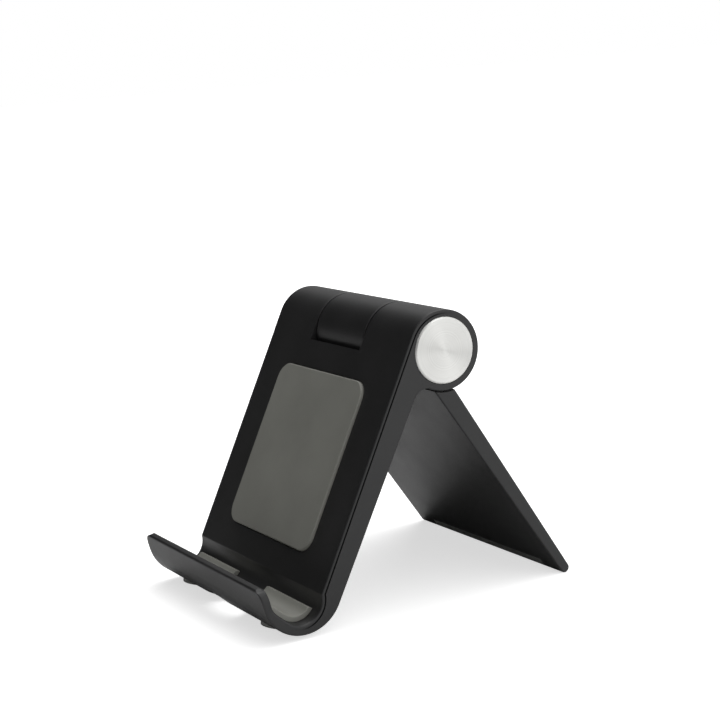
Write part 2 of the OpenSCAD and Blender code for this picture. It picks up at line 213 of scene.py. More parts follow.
class Shell:
    """The points and faces of one closed piece."""

    def __init__(self):
        self.points, self.faces, self.marks = [], [], []

    def ring(self, points):
        self.points += [tuple(p) for p in points]
        return list(range(len(self.points) - len(points), len(self.points)))

    def side_ring(self, x, loop):
        """A ring of a side view at X, or at one X for each point."""
        xs = x if isinstance(x, list) else [x] * len(loop)
        return self.ring([(at, p.real, p.imag) for at, p in zip(xs, loop)])

    def flat_ring(self, loop, height):
        return self.ring([(p.real, p.imag, height) for p in loop])

    def bridge(self, a, b, mark=0):
        """A wall between two rings; the mark is the number of its material."""
        for i in range(len(a)):
            j = (i + 1) % len(a)
            self.add((a[i], a[j], b[j], b[i]), mark)

    def add(self, face, mark=0):
        self.faces.append(tuple(face))
        self.marks.append(mark)

    def fill(self, outer, *holes):
        """One face over a ring, or triangles between it and the rings of its holes."""
        if not holes:
            self.add(outer)
            return
        rings = [outer, *holes]
        index = [i for ring in rings for i in ring]
        for corners in tessellate_polygon([[Vector(self.points[i]) for i in ring] for ring in rings]):
            self.add([index[c] for c in corners])

    def skin(self, rings, marks=None):
        """Walls from each ring to the next, and a face over the first and the last."""
        for i in range(len(rings) - 1):
            self.bridge(rings[i], rings[i + 1], marks[i] if marks else 0)
        self.fill(rings[0])
        self.fill(rings[-1])
        return self


def build(name, shell, place):
    """An object from a shell, moved to its place in the row's frame."""
    mesh = bpy.data.meshes.new(name)
    mesh.from_pydata(shell.points, [], shell.faces)
    mesh.polygons.foreach_set("material_index", shell.marks)
    mesh.transform(place)
    work = bmesh.new()
    work.from_mesh(mesh)
    bmesh.ops.recalc_face_normals(work, faces=work.faces)
    work.to_mesh(mesh)
    work.free()
    obj = bpy.data.objects.new(name, mesh)
    bpy.context.scene.collection.objects.link(obj)
    return obj


def cut(obj, *cutters):
    """Takes the cutters away from the object, for good."""
    for cutter in cutters:
        step = obj.modifiers.new("cut", "BOOLEAN")
        step.operation, step.solver, step.object = "DIFFERENCE", "EXACT", cutter
        bpy.context.view_layer.update()
        result = bpy.data.meshes.new_from_object(obj.evaluated_get(bpy.context.evaluated_depsgraph_get()))
        obj.modifiers.clear()
        old, obj.data = obj.data, result
        bpy.data.meshes.remove(old)
        bpy.data.objects.remove(cutter)
    work = bmesh.new()
    work.from_mesh(obj.data)
    bmesh.ops.remove_doubles(work, verts=work.verts, dist=MERGE_WITHIN)
    bmesh.ops.dissolve_degenerate(work, edges=work.edges, dist=MERGE_WITHIN / 2)
    work.to_mesh(obj.data)
    work.free()


def dress(obj, body, materials, replaced, crease=32):
    """Shading and materials of one piece; it is hung on its body, and the CAD parts it replaces are hidden.
    """
    mesh = obj.data
    mesh.name = obj.name
    mesh.polygons.foreach_set("use_smooth", [True] * len(mesh.polygons))
    mesh.set_sharp_from_angle(angle=math.radians(crease))
    mesh.materials.clear()
    for material in materials:
        mesh.materials.append(material)
    even = obj.modifiers.new("even_shading", "WEIGHTED_NORMAL")
    even.keep_sharp = True
    even.weight = 100
    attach(obj, body)
    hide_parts(*replaced)


def slab(outline, low, high, top_r, low_r=0.1):
    """A flat piece with rounded edges, from an outline drawn X + Y."""
    shell = Shell()
    rings = []
    for drawn, down in quarter(low_r, 3):
        rings.append(shell.flat_ring(inset(outline, drawn), low + down))
    for drawn, down in reversed(list(quarter(top_r))):
        rings.append(shell.flat_ring(inset(outline, drawn), high - down))
    return shell.skin(rings)


def bar(loop, low, high, edge_r, side=1):
    """A bar of one side view from one X to another, with rounded ends; side -1 mirrors it."""
    shell = Shell()
    rings = []
    for drawn, down in quarter(edge_r, 3):
        rings.append(shell.side_ring(side * (low + down), inset(loop, drawn)))
    for drawn, down in reversed(list(quarter(edge_r, 3))):
        rings.append(shell.side_ring(side * (high - down), inset(loop, drawn)))
    return shell.skin(rings)


def recess(outline, depth, edge_r):
    """A cutter for a flat-bottomed recess whose mouth has a rounded edge."""
    shell = Shell()
    rings = [shell.flat_ring(inset(outline, -edge_r), CUT_OVER)]
    for drawn, down in quarter(edge_r, 4):
        rings.append(shell.flat_ring(inset(outline, -drawn), PROUD - down))
    rings.append(shell.flat_ring(outline, -depth))
    return shell.skin(rings)


def stepped_body(shared, middle, outer, step_x, rim, rim_on, edges, drop=None, close=None):
    """A shape with one side view in the middle and another beyond step_x on either side.

    The side views share their lower outline. rim rounds the edge of the fuller one at the step,
    edges holds the radius of the rounded ends at each point of the outer side view, and drop is
    how far each shared point stops short of the ends.
    """
    own = {"middle": middle, "outer": outer}
    drops = [0.0] * len(outer) + (drop or [0.0] * len(shared))

    def share(kind):
        """How much of the rim's rounding each point of a side view takes."""
        count = len(own[kind])
        ramp = [min(1.0, i / RIM_IN, (count - 1 - i) / RIM_OUT) for i in range(count)]
        return ramp + [0.0] * len(shared)

    right = []
    if rim_on == "middle":
        for drawn, down in reversed(list(quarter(rim))):
            right.append((step_x - down, "middle", 0.0, drawn))
    else:
        right.append((step_x, "middle", 0.0, 0.0))
    if rim_on == "outer":
        for drawn, down in quarter(rim):
            right.append((step_x + down, "outer", 0.0, drawn))
    else:
        right.append((step_x, "outer", 0.0, 0.0))
    for drawn, down in reversed(list(quarter(END_SPAN, 6))):
        right.append((HALF_WIDTH - down, "outer", drawn, 0.0))
    stations = [(-x, *rest) for x, *rest in reversed(right)] + right

    shell = Shell()
    first, previous, previous_kind = None, None, None
    for x, kind, drawn, rim_drawn in stations:
        loop = own[kind] + shared
        if rim_drawn:
            loop = inset(loop, rim_drawn, share(kind))
        count = len(own[kind])
        if previous and kind != previous_kind:
            # the shared points go on, and a wall closes the step between the two side views
            fresh = shell.side_ring(x, loop[:count])
            ring = fresh + previous[-len(shared):]
            shell.fill([previous[-1]] + previous[: -len(shared)] + [previous[-len(shared)]] + fresh[::-1])
        else:
            xs = x
            if HALF_WIDTH - abs(x) <= END_SPAN + 1e-6:
                loop = inset(loop, drawn, edges)
                ends = [HALF_WIDTH - d - r * (HALF_WIDTH - abs(x)) for d, r in zip(drops, edges)]
                xs = [math.copysign(end, x) for end in ends]
            ring = shell.side_ring(xs, loop)
            if previous:
                shell.bridge(previous, ring)
        first = first or ring
        previous, previous_kind = ring, kind
    for ring, side in ((first, -1), (previous, 1)):
        if close:
            close(shell, ring, side)
        else:
            shell.fill(ring)
    return shell


# ---- Outlines of the cradle ----

EDGE_R = 0.6
LIP_END_R = 0.5
KNUCKLE_EDGE_R = 0.45
FACE_FILLET = 0.8
LEAST_EDGE = 0.04  # share of its edge radius that the top of the lip keeps
ABOVE_SPLIT = 1.2  # how far above the plate's end the knuckle's own outline stops
TOP_CHAMFER = 0.3  # breaks the corners of the plate's end between the knuckles
LIP_STEPS = 10

SLOT_EDGE_R = 0.6
GROOVE_IN = 0.75
GROOVE_W = 0.48
GROOVE_DEPTH = 0.6
GROOVE_FADE = 9  # points over which the groove's depth fades at either end
GROOVE_LAST = 0.3  # what the end points keep of the depth, in steps of that fade
GROOVE_FROM = 100  # angle on the barrel
GROOVE_TO = -70  # angle in the trough

POCKET_MOUTH = ((0.0, 0.22), (0.05, 0.14), (0.14, 0.1))  # depth, and gap round the cap
CAP_GAP = 0.1


def face_fillet():
    """The rounded edge where the plate's front runs into the trough."""
    into = 1j * FACE_DOWN
    reach = FACE_TOP + FACE_FILLET * into - TROUGH
    b = (reach * FACE_DOWN.conjugate()).real
    run = -b - math.sqrt(b * b - abs(reach) ** 2 + (TROUGH_R + FACE_FILLET) ** 2)
    centre = FACE_TOP + run * FACE_DOWN + FACE_FILLET * into
    start = angle(-into) % 360
    return centre, arc(centre, FACE_FILLET, start, angle(TROUGH - centre) % 360, step=0.2)


across = LIP_TROUGH - TROUGH
floor_angle = angle(across) + math.degrees(math.acos((TROUGH_R - LIP_TROUGH_R) / abs(across)))
if floor_angle > 0:
    floor_angle -= 360
lip_angle = -90 - LIP_SLOPE
fillet_centre, fillet_points = face_fillet()
split_front = FACE_TOP + FACE_DOWN * ((FACE_TOP.imag - PLATE_TOP) / math.cos(math.radians(FRONT_TILT)))
blend_drop = math.sqrt((BARREL_R + BLEND_R) ** 2 - (BLEND_R - AXIS.real) ** 2)
blend_centre = complex(BLEND_R, AXIS.imag - blend_drop)
split_back = complex(0, blend_centre.imag)
inner_root = BEND + (BEND_R - LIP_T) * LIP_NORMAL
outer_root = BEND + BEND_R * LIP_NORMAL

to_lip = joined(
    [split_front],
    fillet_points,
    arc(TROUGH, TROUGH_R, angle(fillet_centre - TROUGH), floor_angle),
    arc(LIP_TROUGH, LIP_TROUGH_R, floor_angle, lip_angle),
)
lip = joined(
    line(inner_root, inner_root + LIP_LENGTH * LIP_ALONG, LIP_STEPS),
    arc(LIP_INNER_EDGE, LIP_EDGE_R, 90 - LIP_SLOPE, 180 - LIP_SLOPE, step=0.15),
    arc(LIP_OUTER_EDGE, LIP_EDGE_R, 180 - LIP_SLOPE, 270 - LIP_SLOPE, step=0.15),
    line(outer_root + LIP_LENGTH * LIP_ALONG, outer_root, LIP_STEPS),
)
from_lip = joined(arc(BEND, BEND_R, 270 - LIP_SLOPE, 360), [split_back])
shared_outline = joined(to_lip[:-1], lip, from_lip[1:])
lip_start = len(to_lip) - 1
lip_end = lip_start + len(lip) - 1

knuckle_outline = joined(
    arc(blend_centre, BLEND_R, 180, angle(AXIS - blend_centre), step=0.4)[1:],
    arc(AXIS, BARREL_R, angle(blend_centre - AXIS), 180 + FRONT_TILT),
    [split_front + ABOVE_SPLIT * -FACE_DOWN],
)


def swing_point(y=None, z=None):
    """Where the space swept by the hub crosses a given Y or Z."""
    if y is not None:
        return complex(y, AXIS.imag - math.sqrt(SWING_R**2 - (y - AXIS.real) ** 2))
    return complex(AXIS.real - math.sqrt(SWING_R**2 - (z - AXIS.imag) ** 2), z)


swing_low, swing_high = swing_point(y=-TOP_CHAMFER), swing_point(z=PLATE_TOP - TOP_CHAMFER)
middle_outline = joined(
    [swing_point(y=0) - 1j * TOP_CHAMFER],
    arc(AXIS, SWING_R, angle(swing_low - AXIS) % 360, angle(swing_high - AXIS) % 360, step=0.6),
    [complex(swing_high.real - TOP_CHAMFER, PLATE_TOP)],
    [complex(split_front.real + TOP_CHAMFER, PLATE_TOP)],
)


def corner_run(point):
    """What is left of the corner radius, along X, at a point of the lip's side view."""
    height = ((point - outer_root) * LIP_ALONG.conjugate()).real
    up = min(max(height - (LIP_LENGTH + LIP_EDGE_R - LIP_CORNER_R), 0.0), LIP_CORNER_R)
    return math.sqrt(LIP_CORNER_R**2 - up**2)


def on_lip(i):
    return lip_start <= i <= lip_end


def lip_edge(point):
    """The edge radius of the lip's ends, which runs out where the corner turns level."""
    return LIP_END_R * max(corner_run(point) / LIP_CORNER_R, LEAST_EDGE)


# how far each shared point stops short of the ends, for the lip's rounded corners
lip_drop = [LIP_CORNER_R - corner_run(p) if on_lip(i) else 0.0 for i, p in enumerate(shared_outline)]
shared_edges = [lip_edge(p) if on_lip(i) else EDGE_R for i, p in enumerate(shared_outline)]


def close_cradle(shell, ring, side):
    """The side of the cradle, with the pocket for the end cap, and the end of the lip."""
    own = len(knuckle_outline)
    shared = ring[own:]
    strip = shared[lip_start : lip_end + 1]
    for i in range((len(strip) - 1) // 2):
        face = [strip[i], strip[i + 1], strip[-2 - i], strip[-1 - i]]
        shell.add(dict.fromkeys(face))
    mouth = [(HALF_WIDTH - depth, CAP_R + gap) for depth, gap in POCKET_MOUTH] + [(CAP_X, CAP_R + CAP_GAP)]
    rings = [shell.side_ring(side * x, circle(AXIS, r)) for x, r in mouth]
    inner = [shell.side_ring(side * x, circle(AXIS, POCKET_R)) for x in (CAP_X, POCKET_X)]
    shell.fill(ring[:own] + shared[: lip_start + 1] + shared[lip_end:], rings[0])
    for a, b in zip(rings, rings[1:]):
        shell.bridge(a, b)
    shell.fill(rings[-1], inner[0])
    shell.bridge(inner[0], inner[1])
    shell.fill(inner[1])


def slot_cutter():
    """A cutter for the cable slot that follows the bend, with rounded edges inside and outside."""
    half = (SLOT_W - SLOT_D) / 2
    stadium = arc(half, SLOT_D / 2, -90, 90, step=0.5) + arc(-half, SLOT_D / 2, 90, 270, step=0.5)

    def floor_radius(direction):
        """Distance from the bend's centre to the trough's floor along a direction."""
        best = 0.0
        for centre, r in ((TROUGH, TROUGH_R), (LIP_TROUGH, LIP_TROUGH_R)):
            along = ((centre - BEND) * direction.conjugate()).real
            aside_squared = abs(centre - BEND) ** 2 - along**2
            best = max(best, along + math.sqrt(r * r - aside_squared))
        return best

    shell = Shell()
    rings = []

    def layer(grow, radius):
        """A ring of the slot's outline, grown, at a radius that depends on the direction."""
        points = []
        for p in inset(stadium, -grow):
            direction = cis(SLOT_ANGLE + math.degrees(p.imag / BEND_R))
            at = BEND + radius(direction) * direction
            points.append((p.real, at.real, at.imag))
        rings.append(shell.ring(points))

    layer(SLOT_EDGE_R, lambda d: floor_radius(d) - 2 * CUT_OVER)
    for drawn, down in quarter(SLOT_EDGE_R, 4):
        layer(drawn, lambda d, t=down: floor_radius(d) + t - PROUD)
    for drawn, down in reversed(list(quarter(SLOT_EDGE_R, 4))):
        layer(drawn, lambda d, t=down: BEND_R - t + PROUD)
    layer(SLOT_EDGE_R, lambda d: BEND_R + 2 * CUT_OVER)
    return shell.skin(rings)


def side_groove(side):
    """A cutter for the narrow groove beside the front edge, from the barrel down into the trough."""
    loop = knuckle_outline + shared_outline

    def nearest(place):
        return min(range(len(loop)), key=lambda i: abs(loop[i] - place))

    first = nearest(AXIS + BARREL_R * cis(GROOVE_FROM))
    last = nearest(TROUGH + TROUGH_R * cis(GROOVE_TO))

    def path(distance):
        """The edge drawn in by a distance, without the points that would run backwards."""
        drawn = inset(loop, distance)
        kept = [drawn[first]]
        for i in range(first + 1, last + 1):
            along = loop[i] - loop[i - 1]
            if ((drawn[i] - kept[-1]) * along.conjugate()).real > 0:
                kept.append(drawn[i])
        return kept

    def fade(points):
        """1 along the groove, and down to almost nothing over its first and last points."""
        last_one = len(points) - 1
        return [min(1.0, (min(i, last_one - i) + GROOVE_LAST) / GROOVE_FADE) for i in range(len(points))]

    near, far = path(GROOVE_IN), path(GROOVE_IN + GROOVE_W)[::-1]
    floors = [side * (HALF_WIDTH - GROOVE_DEPTH * share) for share in fade(near) + fade(far)]
    shell = Shell()
    outside = side * (HALF_WIDTH + CUT_OVER)
    return shell.skin([shell.side_ring(x, near + far) for x in (floors, outside)])


# ---- Materials ----


def material(name):
    """A new material, with its nodes, its links and its shader."""
    made = bpy.data.materials.new(name)
    made.use_nodes = True
    nodes = made.node_tree.nodes
    return made, nodes, made.node_tree.links, nodes["Principled BSDF"]


def noise(nodes, links, place, scale, detail=3.0, roughness=0.5):
    """A noise between 0 and 1; the scale is in waves to the metre."""
    texture = nodes.new("ShaderNodeTexNoise")
    texture.inputs["Scale"].default_value = scale
    texture.inputs["Detail"].default_value = detail
    texture.inputs["Roughness"].default_value = roughness
    links.new(place, texture.inputs["Vector"])
    return texture.outputs["Fac"]


def spread(nodes, links, value, low, high, from_low=0.3, from_high=0.7, smooth=False):
    """Maps a range, by default a noise's middle one, to the range of a property."""
    step = nodes.new("ShaderNodeMapRange")
    if smooth:
        step.interpolation_type = "SMOOTHSTEP"
    step.inputs["From Min"].default_value = from_low
    step.inputs["From Max"].default_value = from_high
    step.inputs["To Min"].default_value = low
    step.inputs["To Max"].default_value = high
    links.new(value, step.inputs["Value"])
    return step.outputs["Result"]


def tint(nodes, links, factor, dark, light):
    """A colour between a dark and a light one."""
    mix = nodes.new("ShaderNodeMix")
    mix.data_type = "RGBA"
    mix.inputs["A"].default_value = (*dark, 1)
    mix.inputs["B"].default_value = (*light, 1)
    links.new(factor, mix.inputs["Factor"])
    return mix.outputs["Result"]


def vector_step(nodes, links, operation, value, constant=None):
    """A step of vector arithmetic on a socket, with a constant where the operation takes one."""
    step = nodes.new("ShaderNodeVectorMath")
    step.operation = operation
    links.new(value, step.inputs[0])
    if constant:
        step.inputs[1].default_value = constant
    return step.outputs["Value" if operation in ("LENGTH", "DOT_PRODUCT") else "Vector"]


def number_step(nodes, links, operation, first, second):
    """A step of arithmetic on a socket and a second one, or a number."""
    step = nodes.new("ShaderNodeMath")
    step.operation = operation
    links.new(first, step.inputs[0])
    if isinstance(second, float):
        step.inputs[1].default_value = second
    else:
        links.new(second, step.inputs[1])
    return step.outputs["Value"]


def bump(nodes, links, height, strength, distance, onto=None):
    """A bumped normal, on top of another one where there is one; the distance is in metres."""
    step = nodes.new("ShaderNodeBump")
    step.inputs["Strength"].default_value = strength
    step.inputs["Distance"].default_value = distance
    links.new(height, step.inputs["Height"])
    if onto:
        links.new(onto, step.inputs["Normal"])
    return step.outputs["Normal"]


def moulded(name, dark, light, rough, grain, strength, specular=0.5):
    """Moulded plastic or rubber: slow changes of shade and a fine grain."""
    made, nodes, links, shader = material(name)
    place = nodes.new("ShaderNodeTexCoord").outputs["Object"]
    slow = noise(nodes, links, place, scale=55, detail=4.0, roughness=0.6)
    fine = noise(nodes, links, place, grain, detail=2.0, roughness=0.6)
    colour = tint(nodes, links, spread(nodes, links, slow, 0.0, 1.0), dark, light)
    links.new(colour, shader.inputs["Base Color"])
    links.new(spread(nodes, links, slow, *rough), shader.inputs["Roughness"])
    links.new(bump(nodes, links, fine, strength, distance=0.00005), shader.inputs["Normal"])
    shader.inputs["Specular IOR Level"].default_value = specular
    return made


PLATING_DARKER = 0.86  # the darkest shade of a plated face, as a share of its colour


def metal(name, colour, rough, scale=900):
    """Plated or drawn steel."""
    made, nodes, links, shader = material(name)
    place = nodes.new("ShaderNodeTexCoord").outputs["Object"]
    fine = noise(nodes, links, place, scale)
    darker = tuple(PLATING_DARKER * c for c in colour)
    shade = tint(nodes, links, spread(nodes, links, fine, 0, 1), darker, colour)
    links.new(shade, shader.inputs["Base Color"])
    links.new(spread(nodes, links, fine, *rough), shader.inputs["Roughness"])
    links.new(bump(nodes, links, fine, strength=0.1, distance=0.00002), shader.inputs["Normal"])
    shader.inputs["Metallic"].default_value = 1.0
    return made


FINE_RINGS, WIDE_RINGS = 9000.0, 2900.0  # scales of the two kinds of turning marks


def turned(name, axis_point, dark, light, rough):
    """Aluminium faced on a lathe: fine rings round the axis and a sheen that fans out across them."""
    made, nodes, links, shader = material(name)
    coords = nodes.new("ShaderNodeTexCoord").outputs["Object"]
    centred = nodes.new("ShaderNodeMapping")
    centred.inputs["Location"].default_value = (0.0, -axis_point[1], -axis_point[2])
    links.new(coords, centred.inputs["Vector"])
    flat = vector_step(nodes, links, "MULTIPLY", centred.outputs["Vector"], (0.0, 1.0, 1.0))
    radius = vector_step(nodes, links, "LENGTH", flat)
    waves = []
    for scale in (FINE_RINGS, WIDE_RINGS):
        rings = nodes.new("ShaderNodeTexNoise")
        rings.noise_dimensions = "1D"
        rings.inputs["Scale"].default_value = scale
        rings.inputs["Detail"].default_value = 2.0
        links.new(radius, rings.inputs["W"])
        waves.append(rings.outputs["Fac"])
    fine, wide = waves
    slow = noise(nodes, links, coords, scale=120, detail=2.0)
    shade = tint(nodes, links, spread(nodes, links, wide, 0.0, 1.0), dark, light)
    links.new(shade, shader.inputs["Base Color"])
    links.new(spread(nodes, links, slow, *rough), shader.inputs["Roughness"])
    normal = bump(nodes, links, fine, strength=0.35, distance=0.00001)
    normal = bump(nodes, links, wide, strength=0.3, distance=0.00002, onto=normal)
    links.new(normal, shader.inputs["Normal"])
    tangent = nodes.new("ShaderNodeTangent")
    tangent.direction_type = "RADIAL"
    tangent.axis = "X"
    links.new(tangent.outputs["Tangent"], shader.inputs["Tangent"])
    shader.inputs["Anisotropic"].default_value = 0.9
    shader.inputs["Anisotropic Rotation"].default_value = 0.25
    shader.inputs["Metallic"].default_value = 1.0
    return made


# name, darkest and lightest shade, range of roughness, scale and strength of the grain, specular level
BLACK = moulded("black_plastic", (0.017, 0.017, 0.0175), (0.022, 0.022, 0.0225), (0.38, 0.45), 2600, 0.25)
SILICONE = moulded("grey_silicone", (0.25, 0.25, 0.225), (0.29, 0.29, 0.262), (0.48, 0.58), 1500, 0.3)
RUBBER = moulded("grey_rubber", (0.29, 0.29, 0.28), (0.33, 0.33, 0.32), (0.55, 0.68), 1400, 0.4, 0.35)
NYLON = moulded("nylon", (0.62, 0.59, 0.50), (0.70, 0.67, 0.58), (0.42, 0.5), 1200, 0.2)
BLACK_NYLON = moulded("black_nylon", (0.012, 0.012, 0.012), (0.018, 0.018, 0.018), (0.42, 0.5), 1200, 0.2)
hinge_point = CRADLE @ Vector((0, AXIS.real, AXIS.imag))
ALUMINIUM = turned("turned_aluminium", hinge_point, (0.90, 0.90, 0.875), (0.96, 0.96, 0.935), (0.44, 0.50))
# name, colour, range of roughness, scale of the grain
ZINC = metal("zinc_plate", (0.62, 0.62, 0.64), (0.28, 0.38))
SHEET = metal("sheet_steel", (0.48, 0.48, 0.49), (0.38, 0.5), 400)
BRIGHT = metal("bright_rim", (0.88, 0.88, 0.87), (0.12, 0.18), 600)

# ---- Cradle ----

RECESS_EDGE_R = 0.25
PAD_CORNER_R = 5.0
PAD_GAP = 0.15

cradle_shell = stepped_body(
    shared_outline,
    middle_outline,
    knuckle_outline,
    KNUCKLE_IN,
    STEP_RIM_R,
    "outer",
    [KNUCKLE_EDGE_R] * len(knuckle_outline) + shared_edges,
    lip_drop,
    close_cradle,
)
cradle = build("cradle_moulding", cradle_shell, CRADLE)
cover_outline = rounded_rect(COVER_W, COVER_LOW, COVER_HIGH, COVER_CORNER_R)
pad_outline = rounded_rect(PAD_W, PAD_LOW, PAD_LOW + PAD_W, PAD_CORNER_R)
cut(
    cradle,
    build("cut_cover", recess(cover_outline, COVER_T, RECESS_EDGE_R), BACK),
    build("cut_pad", recess(inset(pad_outline, -PAD_GAP), PAD_SUNK, RECESS_EDGE_R), FRONT),
    build("cut_slot", slot_cutter(), CRADLE),
    build("cut_groove_left", side_groove(-1), CRADLE),
    build("cut_groove_right", side_groove(1), CRADLE),
)
dress(cradle, "cradle", [BLACK], ["cradle_shell"])

cover = build("back_panel", slab(inset(cover_outline, COVER_GAP), -COVER_T, 0.0, top_r=0.25), BACK)
dress(cover, "cradle", [BLACK], ["back_cover"])

pad = build("plate_pad", slab(pad_outline, -PAD_SUNK, PAD_T - PAD_SUNK, top_r=0.45), FRONT)
dress(pad, "cradle", [SILICONE], ["phone_pad"])

HOOK_PAD_FROM = -7.0  # angle in the trough, by the plate
HOOK_PAD_TO = -122.0  # angle in the lip's trough
HOOK_PAD_EDGE_R = 0.22
# what each end keeps of the pad's thickness, and the share of its length over which it gets full
THIN_BY_PLATE, RUN_BY_PLATE = 0.55, 0.04
THIN_BY_LIP, RUN_BY_LIP = 0.35, 0.35


def rise(start, along):
    """From a start up to 1 and level there, as along goes from 0 to 1."""
    along = min(1.0, along)
    return start + (1 - start) * along * (2 - along)


def hook_pad(side):
    """A silicone strip on the floor of the hook, thinner towards the lip."""

    def floor_line(lift):
        """The floor from the plate to the lip, lifted by so much at each point."""
        path = [(TROUGH, TROUGH_R, a) for a in line(HOOK_PAD_FROM, floor_angle, 24)]
        path += [(LIP_TROUGH, LIP_TROUGH_R, a) for a in line(floor_angle, HOOK_PAD_TO, 8)]
        last = len(path) - 1
        return [c + (r - lift(i / last)) * cis(a) for i, (c, r, a) in enumerate(path)]

    def thickness(t):
        by_lip = rise(THIN_BY_LIP, (1 - t) / RUN_BY_LIP)
        by_plate = rise(THIN_BY_PLATE, t / RUN_BY_PLATE)
        return HOOK_PAD_T * by_lip * by_plate

    loop = joined(floor_line(lambda t: 0.0), floor_line(thickness)[::-1])
    if sum((loop[i - 1].conjugate() * p).imag for i, p in enumerate(loop)) < 0:
        loop.reverse()
    return bar(loop, *HOOK_PAD_X, HOOK_PAD_EDGE_R, side)


for side, word in SIDES:
    piece = build("hook_strip_" + word, hook_pad(side), CRADLE)
    dress(piece, "cradle", [SILICONE], ["hook_pad_" + word])

FOOT_RIM_R = 0.4
SOLE_RING = ((2.9, 0.0), (2.8, 0.12), (2.5, 0.12), (2.4, 0.0), (1.2, 0.0), (0.3, 0.0))  # radius and depth


def foot(side):
    """A rubber disc square to the bend, with a rounded rim and a shallow ring in its sole."""
    shell = Shell()
    forward = math.radians(FOOT_FORWARD)
    sole = (BEND_R + FOOT_PROUD - FOOT_R * math.sin(forward)) / math.cos(forward)
    down_step = cis(math.degrees(LEAN) - 90 - FOOT_FORWARD)
    profile = [(FOOT_R, BEND_R - FOOT_SUNK)]
    profile += [(FOOT_R - drawn, sole - down) for drawn, down in reversed(list(quarter(FOOT_RIM_R, 5)))]
    profile += [(r, sole - depth) for r, depth in SOLE_RING]
    rings = []
    for r, reach in profile:
        disc = [(side * FOOT_X + p.real, BEND + (reach + 1j * p.imag) * down_step) for p in circle(0, r, 96)]
        rings.append(shell.ring([(x, at.real, at.imag) for x, at in disc]))
    return shell.skin(rings)


for side, word in SIDES:
    piece = build("foot_" + word, foot(side), CRADLE)
    dress(piece, "cradle", [RUBBER], ["front_foot_" + word])

SKIRT_LENGTH, SKIRT_T, SKIRT_GAP = 3.0, 1.2, 0.02
BREAK_FLAT, BREAK_ROUND = 0.03, 0.01  # how the bevel's two edges are broken
FACE_RINGS = (CAP_R * 0.6, CAP_R * 0.3, 0.25)  # they share the flat face out into bands


def end_cap(side):
    """A turned cap: a flat face, a bright bevelled rim and the skirt behind it."""
    shell = Shell()
    face = CAP_X + CAP_T
    skirt_r = POCKET_R - SKIRT_GAP
    # X, radius, and the material of the wall to the next ring
    profile = [
        (CAP_X - SKIRT_LENGTH, POCKET_R - SKIRT_T, 0),
        (CAP_X - SKIRT_LENGTH, skirt_r, 0),
        (CAP_X, skirt_r, 0),
        (CAP_X, CAP_R, 0),
        (face - CAP_BEVEL - BREAK_FLAT, CAP_R, 1),
        (face - CAP_BEVEL, CAP_R - BREAK_ROUND, 1),
        (face - BREAK_FLAT, CAP_R - CAP_BEVEL + BREAK_ROUND, 1),
        (face, CAP_R - CAP_BEVEL - BREAK_FLAT, 0),
    ]
    profile += [(face, r, 0) for r in FACE_RINGS]
    rings = [shell.side_ring(side * x, circle(AXIS, r)) for x, r, _ in profile]
    return shell.skin(rings, [mark for _, _, mark in profile])


for side, word in SIDES:
    piece = build("cap_" + word, end_cap(side), CRADLE)
    dress(piece, "cradle", [ALUMINIUM, BRIGHT], ["end_cap_" + word], crease=25)

# ---- Leg ----

PANEL_TOP_EDGE_R = 0.2
LEG_EDGE_R = 0.5
LEG_RECESS_EDGE_R = 0.2
GRIP_GAP = 0.06
GRIP_EDGE_R = 0.2
GRIP_CUT_PAST = 10.0  # how far the cut for the grip goes on past its start
GRIP_CUT_Z = (-20, 5)  # past both faces of the leg


def outer_face(u):
    """The point of the leg's outer face at a distance down the leg."""
    return complex(u, -LEG_OUTER - u * TAPER_RISE)


def on_circle(radius, outer):
    """Where a circle round the hinge crosses the leg's inner or outer face."""
    if not outer:
        return complex(math.sqrt(radius**2 - LEG_INNER**2), -LEG_INNER)
    u = radius
    for _ in range(30):  # each round comes nearer, and these are more than enough
        u = math.sqrt(radius**2 - outer_face(u).imag ** 2)
    return outer_face(u)


toe_round = arc(complex(LEG_LENGTH, TOE_R - LEG_INNER), TOE_R, -90, 90 - LEG_TAPER, step=0.25)
swing_inner, swing_outer = on_circle(SWING_R, False), on_circle(SWING_R, True)
hub_inner, hub_outer = on_circle(BARREL_R, False), on_circle(BARREL_R, True)
leg_shared = joined([swing_inner], toe_round, [swing_outer])
panel_top = arc(0, SWING_R, angle(swing_outer), angle(swing_inner), step=0.5)[1:-1]
hub_outline = joined(arc(0, BARREL_R, angle(hub_outer), angle(hub_inner) % 360))
leg_edges = [PANEL_TOP_EDGE_R] * len(panel_top) + [LEG_EDGE_R] * len(leg_shared)
leg_shell = stepped_body(leg_shared, hub_outline, panel_top, HUB_HALF, STEP_RIM_R, "middle", leg_edges)
leg = build("leg_moulding", leg_shell, LEG)
leg_cover_outline = rounded_rect(LEG_COVER_W, LEG_COVER_LOW, LEG_COVER_HIGH, COVER_CORNER_R)


def grip_cutter():
    """A box that takes the middle of the toe away."""
    half, start, end = GRIP_HALF + GRIP_GAP, GRIP_START, GRIP_START + GRIP_CUT_PAST
    shell = Shell()
    loop = [complex(-half, start), complex(half, start), complex(half, end), complex(-half, end)]
    return shell.skin([shell.flat_ring(loop, z) for z in GRIP_CUT_Z])


cut(
    leg,
    build("cut_leg_cover", recess(leg_cover_outline, LEG_COVER_T, LEG_RECESS_EDGE_R), LEG_BACK),
    build("cut_grip", grip_cutter(), LEG),
)
dress(leg, "leg", [BLACK], ["leg_frame"])

leg_panel_slab = slab(inset(leg_cover_outline, COVER_GAP), -LEG_COVER_T, 0.0, top_r=0.25)
leg_panel = build("leg_panel", leg_panel_slab, LEG_BACK)
dress(leg_panel, "leg", [BLACK], ["leg_cover"])

